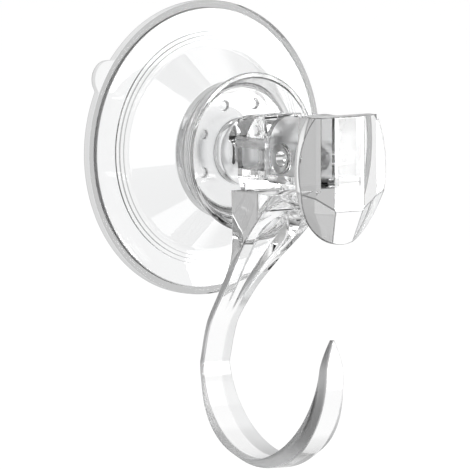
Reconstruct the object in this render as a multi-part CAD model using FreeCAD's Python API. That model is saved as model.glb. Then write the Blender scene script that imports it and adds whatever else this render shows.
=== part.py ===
"""Clear lever hook held by a suction cup, standing on its wall.

Frame: X to the right, +Y into the wall, +Z up, millimetres. The origin is the centre of the
circle on which the cup's lip seals. A height is a distance from the wall, so it lies along -Y.
The lever stands straight out, unlocked. Lifting it turns its cam against the hook's sleeve,
which draws the stud and the middle of the cup away from the wall.
"""

import FreeCAD, Part
import math
import os

os.makedirs("parts", exist_ok=True)

# Clearances
running_clearance = 0.05
sliding_clearance = 0.15
side_clearance = 0.2
edge_clearance = 0.3
cam_clearance = 0.15
heel_clearance = 0.2

# Suction cup
cup_radius = 30.0
seal_width = 2.2
lip_thickness = 1.2
bead_width = 1.4
bead_height = 2.1
cavity_depth = 2.6
cup_web = 1.4
hub_wall = 1.6
hub_cap = 2.4
hollow_steps = 3
shoulder_rise = 4.3
shoulder_hollow = 1.3
shoulder_steps = 2
tab_radius = 3.8
tab_reach = 2.4
tab_angle = 148.0
tab_thickness = 1.6

# Cover
flange_inner_radius = 20.8
flange_height = 2.4
ridge_radius = 23.4
ridge_step = 0.5
cone_radius = 20.9
neck_radius = 13.9
neck_foot_height = 9.9
neck_top_radius = 14.7
neck_top_height = 13.5
drum_radius = 16.4
drum_height = 17.4
drum_land = 1.2
recess_depth = 4.0
recess_floor_radius = 13.3
floor_thickness = 1.8
cover_wall = 1.9
cone_inner_height = 8.6
boss_radius = 6.8
boss_rise = 2.4
dimple_radius = 1.1
dimple_depth = 0.4
dimple_ring_radius = 10.2
dimple_pitch = 45.0
dimple_count = 6

# Stud and pivot pin
stud_width = 4.6
stud_height = 6.4
foot_radius = 5.0
foot_thickness = 1.6
pin_height = 33.5
pin_radius = 1.6
pin_head_radius = 3.15
pin_head_thickness = 1.15
pin_head_bevel = 0.4

# Lever
cheek_thickness = 2.4
lever_bottom = 5.2
lever_heel_round = 2.0
slot_floor_gap = 0.5
slot_front_gap = 0.3
crown_start = 8.5
crown_rise = 0.6
cam_base = 5.85
cam_steps = 8

# Paddle at the lever's front
paddle_reach = 11.7
paddle_thickness = 3.8
paddle_edge = 1.3
paddle_half_width = 11.4
paddle_half_length = 15.4
paddle_drop = 1.6
table_half_width = 3.85
inner_facet_width = 4.15
inner_facet_tilt = 14.2
outer_facet_tilt = 19.7
table_bottom = 10.0
bottom_facet_tilt = 19.0
corner_facet_turn = 50.0
corner_facet_reach = 8.1
corner_facet_tilt = 33.0

# Sleeve of the hook, round the stud
sleeve_setback = 1.3
sleeve_top = 8.4
sleeve_bottom = 4.9
ear_pad_top = 3.4
ear_pad_width = 0.9
ear_root = 1.2
ear_top_length = 3.0
ear_brow = ((0.59, 0.91), (0.29, 0.68), (0.115, 0.32))
foot_half_width = 2.4
neck_back_step = 0.5
neck_thickness = 2.0

# Shank and bend of the hook
block_setback = 2.5
block_depth = 14.6
block_width = 15.6
block_back_width = 15.2
hook_radius = 18.4
hook_centre_height = 24.2
hook_centre_drop = 43.5
hook_thickness = 2.4
hook_end_thickness = 1.7
hook_outer_width = 4.8
hook_waist_width = 7.4
hook_belly_width = 12.7
hook_belly_angle = 275.0
hook_end_width = 6.1
hook_tip_length = 6.8
hook_tip_width = 0.9
hook_tip_thickness = 0.8
shank_steps = 10
bend_steps = 18
tip_steps = 3

# Dished recess in the shank's front
scoop_top_drop = 4.2
scoop_length = 22.0
scoop_arch = 4.5
scoop_border = 2.5
scoop_depth = 2.1
scoop_floor_share = 0.45
scoop_arch_shares = (0.01, 0.13, 0.44, 1.0)
scoop_length_shares = (0.45, 0.7, 1.0)
scoop_least_width = 0.6

# Motion
lever_lift = 90.0
stud_stroke = 2.9

# How the shank runs from its block to the bend: share of the way down, then what is left of the
# block's back, front, front width and back width
shank_curve = (
    (0.0, 1.0, 1.0, 1.0, 1.0),
    (0.22, 0.988, 0.714, 0.915, 0.93),
    (0.413, 0.758, 0.463, 0.476, 0.44),
    (0.604, 0.406, 0.247, 0.1, 0.12),
    (0.792, 0.127, 0.08, 0.0, 0.02),
    (1.0, 0.0, 0.0, 0.0, 0.0),
)

# Heights and places that follow from the sizes above
drum_floor = drum_height - recess_depth
boss_height = drum_floor + boss_rise
stud_half_width = stud_width / 2
stud_half_height = stud_height / 2
foot_back_height = cavity_depth + cup_web
foot_front_height = foot_back_height + foot_thickness
hub_radius = foot_radius + hub_wall
hub_height = foot_front_height + hub_cap
slot_half_width = stud_half_width + side_clearance
lever_half_width = slot_half_width + cheek_thickness
sleeve_front = pin_height - cam_base - cam_clearance
sleeve_back = drum_height + sleeve_setback
ear_crown = sleeve_front - ear_top_length
cam_rate = stud_stroke / math.radians(lever_lift)
cam_top = cam_base + stud_stroke
slot_floor = stud_half_height + slot_floor_gap
slot_front = stud_half_height + slot_front_gap
heel_swing = math.hypot(cam_base - lever_heel_round,
                        lever_bottom - lever_heel_round) + lever_heel_round
paddle_back_height = pin_height + paddle_reach
paddle_height = paddle_back_height + paddle_thickness
block_top = -(heel_swing + heel_clearance)
block_back = drum_height + block_setback
block_front = block_back + block_depth
bar_front = hook_centre_height - hook_radius
bar_back = bar_front - hook_thickness


def at(x, height, z):
    """A point by its place across, its distance from the wall and its place up."""
    return FreeCAD.Vector(x, -height, z)


def wire(points):
    """A closed wire of straight edges through the points."""
    return Part.makePolygon(points + [points[0]])


def revolved(edges):
    """A solid turned about the cup's axis from a closed profile of edges."""
    face = Part.Face(Part.Wire(edges))
    return face.revolve(at(0, 0, 0), FreeCAD.Vector(0, 1, 0), 360)


def run(points):
    """Straight edges that join a list of points in turn."""
    return [Part.LineSegment(a, b).toShape() for a, b in zip(points, points[1:])]


def smooth(points, start, end):
    """One smooth edge through the points, with a stated direction at each end."""
    curve = Part.BSplineCurve()
    curve.interpolate(Points=points, InitialTangent=start, FinalTangent=end)
    return curve.toShape()


def disc(radius, low, high):
    """A round slab on the cup's axis between two heights."""
    return Part.makeCylinder(radius, high - low, at(0, low, 0), at(0, 1, 0))


def obround(half_width, half_height, low, high):
    """A bar along the cup's axis with flat sides and round top and bottom."""
    level = half_height - half_width
    left = [at(-half_width, low, -level), at(-half_width, low, level)]
    right = [at(half_width, low, level), at(half_width, low, -level)]
    top = Part.Arc(left[1], at(0, low, half_height), right[0]).toShape()
    foot = Part.Arc(right[1], at(0, low, -half_height), left[0]).toShape()
    outline = Part.Wire(run(left) + [top] + run(right) + [foot])
    return Part.Face(outline).extrude(at(0, high - low, 0))


def stud_bore(clearance, low, high):
    """Cutter for a hole in which the stud's flat-sided bar slides."""
    return obround(stud_half_width + clearance, stud_half_height + clearance, low, high)


def side_plate(edges, left, right):
    """A plate whose outline lies in the plane of heights and Z, between two places across."""
    face = Part.Face(Part.Wire(edges))
    face.translate(FreeCAD.Vector(left, 0, 0))
    return face.extrude(FreeCAD.Vector(right - left, 0, 0))


def cross_bar(radius, left, right, height, z=0.0):
    """A round bar along X."""
    return Part.makeCylinder(radius, right - left, at(left, height, z), FreeCAD.Vector(1, 0, 0))


def beyond(point, normal, size=200.0):
    """A large block that fills the side of a plane to which the normal points."""
    block = Part.makeBox(size, size, size, FreeCAD.Vector(-size / 2, -size / 2, 0))
    turn = FreeCAD.Rotation(FreeCAD.Vector(0, 0, 1), normal)
    block.Placement = FreeCAD.Placement(point, turn)
    return block


def eased(rows, place, column):
    """A column of a table at a place between its rows, smooth and with no overshoot."""
    slopes = [(b[column] - a[column]) / (b[0] - a[0]) for a, b in zip(rows, rows[1:])]
    tangents = [slopes[0]]
    for before, after in zip(slopes, slopes[1:]):
        same_way = before * after > 0
        tangents.append(2 * before * after / (before + after) if same_way else 0.0)
    tangents.append(slopes[-1])
    last = len(slopes) - 1
    part = min(last, sum(1 for row in rows[1:] if row[0] < place))
    low, high = rows[part], rows[part + 1]
    width = high[0] - low[0]
    t = (place - low[0]) / width
    return ((1 + 2 * t) * (1 - t) ** 2 * low[column]
            + t * (1 - t) ** 2 * width * tangents[part]
            + t * t * (3 - 2 * t) * high[column]
            + t * t * (t - 1) * width * tangents[part + 1])


def cavity_height(radius):
    """Height of the cup's hollow side, level at the seal and at the middle."""
    share = radius / (cup_radius - seal_width)
    return cavity_depth * (1 - share ** 2) ** 3


def shoulder_height(radius):
    """Height of the cup's front side between the hub and the flat lip."""
    share = (radius - hub_radius) / (flange_inner_radius - hub_radius)
    return lip_thickness + shoulder_rise * (1 - share) ** shoulder_hollow


def suction_cup():
    """Soft cup with a sealing lip, a bead round its edge, a hub round the stud and a tab."""
    seal_radius = cup_radius - seal_width
    bead_radius = cup_radius - bead_width
    hollow = []
    for k in range(hollow_steps + 1):
        radius = seal_radius * (1 - k / hollow_steps)
        hollow.append(at(radius, cavity_height(radius), 0))
    front = []
    for k in range(shoulder_steps + 1):
        radius = hub_radius + (flange_inner_radius - hub_radius) * k / shoulder_steps
        front.append(at(radius, shoulder_height(radius), 0))
    outline = [at(cup_radius, 0, 0)] + hollow
    outline += [at(0, hub_height, 0), at(hub_radius, hub_height, 0)] + front
    outline += [at(bead_radius, lip_thickness, 0), at(bead_radius, bead_height, 0),
                at(cup_radius, bead_height, 0)]
    cup = revolved(run(outline + [outline[0]]))
    angle = math.radians(tab_angle)
    out = cup_radius + tab_reach - tab_radius
    centre = at(out * math.cos(angle), 0, out * math.sin(angle))
    tab = Part.makeCylinder(tab_radius, tab_thickness, centre, at(0, 1, 0))
    tab = tab.cut(disc(cup_radius - bead_width / 2, 0, tab_thickness))
    cup = cup.fuse(tab)
    gap = running_clearance
    cup = cup.cut(disc(foot_radius + gap, foot_back_height - gap, foot_front_height + gap))
    cup = cup.cut(stud_bore(gap, foot_back_height, hub_height + hub_cap))
    return cup.removeSplitter()


def cover():
    """Hard cover: flange, raised ring, cone, neck and a drum with a recessed, dimpled front."""
    flange_radius = cup_radius - bead_width - edge_clearance
    inner_radius = neck_radius - cover_wall
    outline = [at(flange_radius, lip_thickness, 0), at(flange_radius, flange_height, 0)]
    cone_foot = flange_height + ridge_step
    outline += [
        at(ridge_radius, flange_height, 0),
        at(ridge_radius, cone_foot, 0),
        at(cone_radius, cone_foot, 0),
        at(neck_radius, neck_foot_height, 0),
        at(neck_top_radius, neck_top_height, 0),
        at(drum_radius, drum_height, 0),
        at(drum_radius - drum_land, drum_height, 0),
        at(recess_floor_radius, drum_floor, 0),
        at(boss_radius, drum_floor, 0),
        at(boss_radius, boss_height, 0),
        at(0, boss_height, 0),
        at(0, drum_floor - floor_thickness, 0),
        at(inner_radius, drum_floor - floor_thickness, 0),
        at(inner_radius, cone_inner_height, 0),
        at(flange_inner_radius, lip_thickness, 0),
    ]
    shell = revolved(run(outline + [outline[0]]))
    shell = shell.cut(stud_bore(sliding_clearance, 0, drum_height))
    first = 90 - dimple_pitch * (dimple_count - 1) / 2
    for k in range(dimple_count):
        angle = math.radians(first + k * dimple_pitch)
        middle = at(dimple_ring_radius * math.cos(angle), drum_floor - dimple_depth,
                    dimple_ring_radius * math.sin(angle))
        shell = shell.cut(Part.makeCylinder(dimple_radius, dimple_depth * 2, middle, at(0, 1, 0)))
    return shell


def stud():
    """Stud: a round foot moulded into the cup and a flat-sided bar that ends round the pin."""
    foot = disc(foot_radius, foot_back_height, foot_front_height)
    bar = obround(stud_half_width, stud_half_height, foot_back_height,
                  pin_height + stud_half_height)
    limit = [at(0, foot_back_height, -stud_half_height), at(0, pin_height, -stud_half_height)]
    upper = [at(0, pin_height, stud_half_height), at(0, foot_back_height, stud_half_height)]
    end = Part.Arc(limit[1], at(0, pin_height + stud_half_height, 0), upper[0]).toShape()
    side = run(limit) + [end] + run(upper + [limit[0]])
    bar = bar.common(side_plate(side, -stud_width, stud_width))
    bore = cross_bar(pin_radius, -stud_width, stud_width, pin_height)
    return foot.fuse(bar).cut(bore).removeSplitter()


def pivot_pin():
    """Pin through the stud, with a round-edged head outside each cheek of the lever."""
    inner = lever_half_width + running_clearance
    outer = inner + pin_head_thickness
    bevel_start = outer - pin_head_bevel
    half = [at(0, pin_height, 0), at(0, pin_height + pin_radius, 0),
            at(inner, pin_height + pin_radius, 0), at(inner, pin_height + pin_head_radius, 0),
            at(bevel_start, pin_height + pin_head_radius, 0),
            at(outer, pin_height + pin_head_radius - pin_head_bevel, 0), at(outer, pin_height, 0)]
    face = Part.Face(wire(half))
    right = face.revolve(at(0, pin_height, 0), FreeCAD.Vector(1, 0, 0), 360)
    left = right.mirror(at(0, 0, 0), FreeCAD.Vector(1, 0, 0))
    return right.fuse(left).removeSplitter()


def cam_point(turn):
    """Point of the cam that touches the sleeve after a turn, as the lever stands at rest."""
    reach = cam_base + cam_rate * turn
    height = pin_height - reach * math.cos(turn) + cam_rate * math.sin(turn)
    return at(0, height, reach * math.sin(turn) + cam_rate * math.cos(turn))


def lever_side():
    """Edges of the lever's side outline: flat back, cam over a quarter turn, and flat top."""
    back = pin_height - cam_base
    crown = pin_height + crown_start
    front = paddle_back_height + paddle_edge
    turns = [math.radians(lever_lift) * (1 - k / cam_steps) for k in range(cam_steps + 1)]
    curve = [cam_point(turn) for turn in turns]
    cam = smooth(curve, at(0, -1, 0), at(0, 0, -1))
    heel = [at(0, back, -lever_bottom + lever_heel_round),
            at(0, back + lever_heel_round, -lever_bottom)]
    corner = lever_heel_round * (1 - math.sqrt(0.5))
    heel_arc = Part.Arc(heel[0], at(0, back + corner, -lever_bottom + corner), heel[1]).toShape()
    belly = run([heel[1], at(0, front, -lever_bottom), at(0, front, cam_top + crown_rise),
                 at(0, paddle_back_height, cam_top + crown_rise), at(0, crown, cam_top), curve[0]])
    return belly + [cam] + run([curve[-1], heel[0]]) + [heel_arc]


def paddle():
    """Faceted oval paddle: a flat table, two bands of side facets and three lower facets."""
    middle = -paddle_drop
    centre = at(0, paddle_back_height, middle)
    oval = Part.Ellipse(FreeCAD.Vector(0, 0, 0), paddle_half_length, paddle_half_width).toShape()
    upright = FreeCAD.Rotation(FreeCAD.Vector(0, 0, 1), at(1, 0, 0), at(0, 1, 0), "ZYX")
    oval.Placement = FreeCAD.Placement(centre, upright)
    slab = Part.Face(Part.Wire([oval])).extrude(at(0, paddle_thickness, 0))
    top = cam_top + crown_rise
    cuts = [beyond(at(0, paddle_height, top), FreeCAD.Vector(0, 0, 1))]
    drop = inner_facet_width * math.tan(math.radians(inner_facet_tilt))
    for side in (-1, 1):
        for start, height, tilt in (
            (table_half_width, paddle_height, inner_facet_tilt),
            (table_half_width + inner_facet_width, paddle_height - drop, outer_facet_tilt),
        ):
            lean = math.radians(tilt)
            normal = at(side * math.sin(lean), math.cos(lean), 0)
            cuts.append(beyond(at(side * start, height, 0), normal))
        turn = math.radians(corner_facet_turn)
        lean = math.radians(corner_facet_tilt)
        across = math.sin(turn) * side
        normal = at(across * math.sin(lean), math.cos(lean), -math.cos(turn) * math.sin(lean))
        start = at(across * corner_facet_reach, paddle_height,
                   middle - math.cos(turn) * corner_facet_reach)
        cuts.append(beyond(start, normal))
    lean = math.radians(bottom_facet_tilt)
    cuts.append(beyond(at(0, paddle_height, -table_bottom),
                       at(0, math.cos(lean), -math.sin(lean))))
    return slab.cut(cuts)


def lever():
    """Cam lever: two cheeks astride the stud, joined by a floor and by the faceted paddle."""
    body = side_plate(lever_side(), -lever_half_width, lever_half_width)
    body = body.fuse(paddle())
    stop = pin_height + slot_front
    over = cam_top * 2
    slot = [at(0, 0, -slot_floor), at(0, stop, -slot_floor), at(0, stop, over), at(0, 0, over)]
    body = body.cut(side_plate(run(slot + [slot[0]]), -slot_half_width, slot_half_width))
    bore = cross_bar(pin_radius + running_clearance, -lever_half_width * 2,
                     lever_half_width * 2, pin_height)
    return body.cut(bore).removeSplitter()


def bar_section(centre, outward, inner_width, outer_width, thickness):
    """Closed section of the hook: flat inside, with slanted sides and a narrower outside."""
    wide = FreeCAD.Vector(inner_width / 2, 0, 0)
    narrow = FreeCAD.Vector(outer_width / 2, 0, 0)
    back = centre + outward * thickness
    return wire([centre - wide, centre + wide, back + narrow, back - narrow])


def shank_station(share):
    """Level station of the shank: its place up, back, front, and its widths in front and behind."""
    z = block_top - (block_top + hook_centre_drop) * share
    back = bar_back + (block_back - bar_back) * eased(shank_curve, share, 1)
    front = bar_front + (block_front - bar_front) * eased(shank_curve, share, 2)
    width = hook_waist_width + (block_width - hook_waist_width) * eased(shank_curve, share, 3)
    outer = hook_outer_width + (block_back_width - hook_outer_width) * eased(shank_curve, share, 4)
    return z, back, front, width, outer


def bend_width(angle):
    """Width of the bend, which swells from the waist to the belly and narrows to its end."""
    if angle < hook_belly_angle:
        end = hook_waist_width
        share = (angle - 180) / (hook_belly_angle - 180)
    else:
        end = hook_end_width
        share = (360 - angle) / (360 - hook_belly_angle)
    return end + (hook_belly_width - end) * math.sin(share * math.pi / 2)


def hook_bar():
    """Tapering shank and open hook, lofted through level sections and then round the bend."""
    sections = []
    for k in range(shank_steps):
        z, back, front, width, outer = shank_station(k / shank_steps)
        sections.append(bar_section(at(0, front, z), at(0, -1, 0), width, outer, front - back))
    for k in range(bend_steps + 1):
        share = k / bend_steps
        turn = math.radians(180 + 180 * share)
        outward = at(0, math.cos(turn), math.sin(turn))
        centre = at(0, hook_centre_height, -hook_centre_drop) + outward * hook_radius
        thickness = hook_thickness + (hook_end_thickness - hook_thickness) * share
        sections.append(bar_section(centre, outward, bend_width(math.degrees(turn)),
                                    hook_outer_width, thickness))
    inside = hook_centre_height + hook_radius
    for k in range(1, tip_steps + 1):
        share = k / tip_steps
        fade = share ** 1.5
        width = hook_end_width + (hook_tip_width - hook_end_width) * fade
        outer = hook_outer_width + (hook_tip_width * 0.5 - hook_outer_width) * fade
        thickness = hook_end_thickness + (hook_tip_thickness - hook_end_thickness) * fade
        centre = at(0, inside + hook_tip_width * fade / 2,
                    -hook_centre_drop + hook_tip_length * share)
        sections.append(bar_section(centre, at(0, 1, 0), width, outer, thickness))
    return Part.makeLoft(sections, True, True)


def scoop():
    """Cutter for the long dished recess in the shank's front, round at its top."""
    span = block_top + hook_centre_drop
    proud = scoop_depth / 2
    sections = []
    downs = [scoop_arch * share for share in scoop_arch_shares]
    downs += [scoop_length * share for share in scoop_length_shares]
    for down in downs:
        z, _, front, width, _ = shank_station((scoop_top_drop + down) / span)
        arch = math.sqrt(1 - (1 - min(down / scoop_arch, 1)) ** 2)
        fade = 1 - max(0.0, (down - scoop_arch) / (scoop_length - scoop_arch))
        mouth = max(width / 2 - scoop_border, scoop_least_width / 2) * arch
        depth = scoop_depth * math.sqrt(arch) * fade - proud / 10
        rim = mouth * (1 + (1 - scoop_floor_share) / 2)
        inner = mouth * scoop_floor_share
        sections.append(wire([
            at(-rim, front + proud, z), at(rim, front + proud, z),
            at(inner, front - depth, z), at(-inner, front - depth, z),
        ]))
    return Part.makeLoft(sections, True, False)


def sleeve():
    """Sleeve round the stud: an ear on the drum's boss, a rounded top corner and a low foot."""
    level = FreeCAD.Vector(0, 1, 0)
    rise = sleeve_top - ear_pad_top
    reach = ear_crown - boss_height
    brow = [at(0, ear_crown, sleeve_top)]
    brow += [at(0, boss_height + reach * out, ear_pad_top + rise * up) for out, up in ear_brow]
    brow.append(at(0, boss_height, ear_pad_top))
    side = run([at(0, sleeve_front, -sleeve_bottom), at(0, sleeve_front, sleeve_top), brow[0]])
    side += [smooth(brow, level, FreeCAD.Vector(0, 0.4, -1))]
    side += run([brow[-1], at(0, boss_height, ear_pad_top - ear_pad_width),
                 at(0, sleeve_back, ear_root), at(0, sleeve_back, -sleeve_bottom),
                 at(0, sleeve_front, -sleeve_bottom)])
    body = side_plate(side, -lever_half_width, lever_half_width)
    foot = [at(0, boss_height, -sleeve_bottom), at(0, sleeve_front, -sleeve_bottom),
            at(0, sleeve_front, -stud_half_height), at(0, boss_height, -stud_half_height)]
    return body.fuse(side_plate(run(foot + [foot[0]]), -foot_half_width, foot_half_width))


def neck():
    """Plate that carries the shank's block from the sleeve and leaves a slot in front of it."""
    back = sleeve_back + neck_back_step
    front = back + neck_thickness
    root = neck_thickness / 2
    points = [at(0, back, -sleeve_bottom + root), at(0, front, -sleeve_bottom + root),
              at(0, front, block_top - root), at(0, block_back + root / 2, block_top - root),
              at(0, block_back, block_top), at(0, back, -sleeve_bottom)]
    return side_plate(run(points + [points[0]]), -lever_half_width, lever_half_width)


def hook():
    """Hook: a sleeve on the stud, a neck plate, a tapering shank and the open bend."""
    body = hook_bar().cut(scoop())
    body = body.fuse([sleeve(), neck()])
    body = body.cut(stud_bore(sliding_clearance, 0, pin_height))
    return body.removeSplitter()


def save(name, shape):
    """Write one piece, after a look at its solids, as its own file."""
    solids = shape.Solids
    if len(solids) != 1 or not shape.isValid():
        print("look at", name, "solids", len(solids), "valid", shape.isValid())
    body = solids[0] if len(solids) == 1 else shape
    body.exportStep(os.path.join("parts", name + ".step"))
    box = body.BoundBox
    print(name, "volume", round(body.Volume, 1), "box",
          [round(v, 2) for v in (box.XMin, box.YMin, box.ZMin, box.XMax, box.YMax, box.ZMax)])


def main():
    """Build every piece in its place and write it."""
    save("suction_cup", suction_cup())
    save("cover", cover())
    save("stud", stud())
    save("pivot_pin", pivot_pin())
    save("lever", lever())
    save("hook", hook())


main()
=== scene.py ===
"""Looks of a clear lever hook held by a suction cup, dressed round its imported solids.

Frame: metres, +Y into the wall, +Z up, the origin at the middle of the sealing circle. Sizes in
the classes are millimetres, apart from the studio's, which are metres. The height of a level is
its distance from the wall, along -Y. A half height, a top and a bottom are along Z.
"""

import logging
import math
from dataclasses import dataclass
from enum import Enum

import bmesh
import bpy
import numpy as np
from mathutils import Matrix, Vector


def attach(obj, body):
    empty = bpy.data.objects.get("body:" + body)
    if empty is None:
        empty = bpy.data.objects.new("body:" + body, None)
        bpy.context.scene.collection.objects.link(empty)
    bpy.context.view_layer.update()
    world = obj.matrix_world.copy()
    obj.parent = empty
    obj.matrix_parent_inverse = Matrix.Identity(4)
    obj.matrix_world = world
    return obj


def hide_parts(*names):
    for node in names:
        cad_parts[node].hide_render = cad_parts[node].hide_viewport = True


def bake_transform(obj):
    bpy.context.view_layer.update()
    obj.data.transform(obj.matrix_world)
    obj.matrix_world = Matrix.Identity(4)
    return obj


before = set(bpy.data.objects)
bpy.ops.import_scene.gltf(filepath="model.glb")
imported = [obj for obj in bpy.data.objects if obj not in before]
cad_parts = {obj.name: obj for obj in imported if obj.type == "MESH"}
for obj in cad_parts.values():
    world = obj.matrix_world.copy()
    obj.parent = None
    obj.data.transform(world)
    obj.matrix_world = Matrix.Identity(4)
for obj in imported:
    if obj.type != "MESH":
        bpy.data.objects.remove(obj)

Object = bpy.types.Object
Material = bpy.types.Material
Socket = bpy.types.NodeSocket

LOG = logging.getLogger("suction_hook")
MM = 0.001
TURN = 2 * math.pi
CORNER_SUPPORT = 0.06
CORNER_STRETCHES = 5
CORNER_MOST = 0.45
SUPPORT_MOST = 0.25


class Body(Enum):
    """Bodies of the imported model."""

    HOUSING = "housing"
    PLUNGER = "plunger"
    HANDLE = "handle"


class Slot(Enum):
    """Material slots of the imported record."""

    SOFT = "soft_clear"
    HARD = "hard_clear"


class Shade(Enum):
    """How the faces of a piece are shaded."""

    SMOOTH = "smooth"
    FLAT = "flat"


@dataclass
class Wires:
    """Short ways to add nodes to a node tree."""

    tree: bpy.types.NodeTree

    def add(self, kind: str, inputs: dict[str | int, object], **settings: str
            ) -> bpy.types.Node:
        """Add a shader node.

        Args:
            kind: Its kind, as its type is named after ShaderNode.
            inputs: For each of its inputs that is set, a value or a socket to link from.
            settings: Its own settings, which are set before its inputs.

        Returns:
            The node.
        """
        node = self.tree.nodes.new(f"ShaderNode{kind}")
        for name, value in settings.items():
            setattr(node, name, value)
        for name, value in inputs.items():
            if isinstance(value, Socket):
                self.tree.links.new(value, node.inputs[name])
            else:
                node.inputs[name].default_value = value
        return node

    def math(self, operation: str, *values: float | Socket) -> Socket:
        """Add a Math node.

        Args:
            operation: Its operation.
            values: Its inputs, each a number or a socket.

        Returns:
            Its output.
        """
        return self.add("Math", dict(enumerate(values)), operation=operation).outputs[0]

    def rise(self, value: Socket, start: float, stop: float) -> Socket:
        """A smooth rise from 0 at start to 1 at stop."""
        node = self.add("MapRange", {"Value": value, "From Min": start, "From Max": stop},
                        interpolation_type="SMOOTHSTEP")
        return node.outputs["Result"]

    def between(self, value: Socket, low: float, high: float, soft: float) -> Socket:
        """1 from low to high and 0 outside them, with soft borders."""
        return self.math("MULTIPLY", self.rise(value, low - soft, low + soft),
                         self.rise(value, high + soft, high - soft))

    def along(self, vector: Socket, axis: tuple[float, ...]) -> Socket:
        """How far a vector reaches along an axis."""
        node = self.add("VectorMath", {0: vector, 1: axis}, operation="DOT_PRODUCT")
        return node.outputs["Value"]

    def ray(self, kind: str) -> Socket:
        """Socket that is 1 for one kind of ray."""
        return self.add("LightPath", {}).outputs[kind]

    def place(self, kind: str) -> Socket:
        """Socket with one kind of texture coordinates."""
        return self.add("TexCoord", {}).outputs[kind]


@dataclass(frozen=True)
class ClearPlastic:
    """Water clear moulded plastic: glass, faint flow waves, painted shade on grazing faces."""

    name: str
    ior: float
    roughness: float
    roughness_spread: float
    face_colour: tuple[float, float, float]
    grazing_shade_colour: tuple[float, float, float]
    grazing_shade_start: float
    wave_scale: float = 90.0
    wave_height: float = 0.00001
    painted_shade_radius: float = 0.0
    painted_shade_height: float = 0.0
    painted_shade_tone: float = 1.0
    painted_shade_border: float = 0.05
    calm_radius: float = 0.0
    calm_share: float = 1.0
    calm_border: float = 0.6

    def build(self) -> Material:
        """Make the material.

        Returns:
            A material whose colour falls from its face colour to its darker grazing colour by
            Layer Weight, a painted shade on faces seen edge-on, with roughness and a bump that
            follow slow noise on Object coordinates. Past the calm radius its mirroring is
            weaker, and past the shade radius and height its colour is darker, a painted shade.
        """
        material = bpy.data.materials.new(self.name)
        material.use_nodes = True
        wires = Wires(material.node_tree)
        links = material.node_tree.links
        shader = material.node_tree.nodes["Principled BSDF"]
        shader.inputs["IOR"].default_value = self.ior
        shader.inputs["Transmission Weight"].default_value = 1.0
        place = wires.place("Object")
        flow = wires.add("TexNoise", {"Scale": self.wave_scale, "Detail": 2.0, "Vector": place})
        spread = wires.add("MapRange", {"To Min": self.roughness,
                                        "To Max": self.roughness + self.roughness_spread,
                                        "Value": flow.outputs["Fac"]})
        links.new(spread.outputs["Result"], shader.inputs["Roughness"])
        bump = wires.add("Bump", {"Strength": 1.0, "Distance": self.wave_height,
                                  "Height": flow.outputs["Fac"]})
        links.new(bump.outputs["Normal"], shader.inputs["Normal"])
        # Painted shade: the colour darkens towards faces seen edge-on, for the dark edges of clear
        # plastic.
        facing = wires.add("LayerWeight", {"Blend": 0.5})
        ramp = wires.add("ValToRGB", {"Fac": facing.outputs["Facing"]})
        ramp.color_ramp.interpolation = "EASE"
        low, high = ramp.color_ramp.elements
        low.position, high.position = self.grazing_shade_start, 1.0
        low.color, high.color = (*self.face_colour, 1.0), (*self.grazing_shade_colour, 1.0)
        tint_and_shade = ramp.outputs["Color"]
        across, up, height = (wires.along(place, axis) for axis in (
            (1.0, 0.0, 0.0), (0.0, 0.0, 1.0), (0.0, -1.0, 0.0)))
        radius = wires.math("SQRT", wires.math("MULTIPLY_ADD", across, across,
                                               wires.math("MULTIPLY", up, up)))
        if self.calm_radius > 0:
            calm = wires.rise(radius, self.calm_radius * MM,
                              (self.calm_radius + self.calm_border) * MM)
            links.new(wires.math("MULTIPLY_ADD", calm, self.calm_share - 1.0, 1.0),
                      shader.inputs["Specular Tint"])
        # Painted shade: past the radius and height below, the colour is darker (the cup's bead).
        if self.painted_shade_radius > 0:
            past = [wires.rise(value, (limit - self.painted_shade_border) * MM,
                               (limit + self.painted_shade_border) * MM)
                    for value, limit in ((radius, self.painted_shade_radius), (height, self.painted_shade_height))]
            tone = wires.math("MULTIPLY_ADD", wires.math("MULTIPLY", *past),
                              self.painted_shade_tone - 1.0, 1.0)
            tint_and_shade = wires.add("VectorMath", {0: tint_and_shade, "Scale": tone},
                             operation="SCALE").outputs[0]
        links.new(tint_and_shade, shader.inputs["Base Color"])
        return material


# The grazing colour of each finish below is painted shade on faces seen edge-on.
HARD_CLEAR = ClearPlastic(
    name="hard_clear_plastic", ior=1.5, roughness=0.0, roughness_spread=0.015,
    face_colour=(0.996, 0.997, 0.998), grazing_shade_colour=(0.55, 0.56, 0.57), grazing_shade_start=0.55,
    calm_radius=20.9, calm_share=0.35)
HARD_MATT = ClearPlastic(
    name="hard_clear_inside", ior=1.4, roughness=0.32, roughness_spread=0.1,
    face_colour=(0.97, 0.973, 0.976), grazing_shade_colour=(0.7, 0.71, 0.72), grazing_shade_start=0.5,
    wave_scale=150.0, wave_height=0.00002)
# Painted shade: a dark grey finish on the lever's eased edges, drawing their dark outlines.
HARD_EDGE_SHADE = ClearPlastic(
    name="hard_clear_edge_shade", ior=1.5, roughness=0.02, roughness_spread=0.03,
    face_colour=(0.25, 0.253, 0.256), grazing_shade_colour=(0.2, 0.202, 0.204), grazing_shade_start=0.6)
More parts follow.
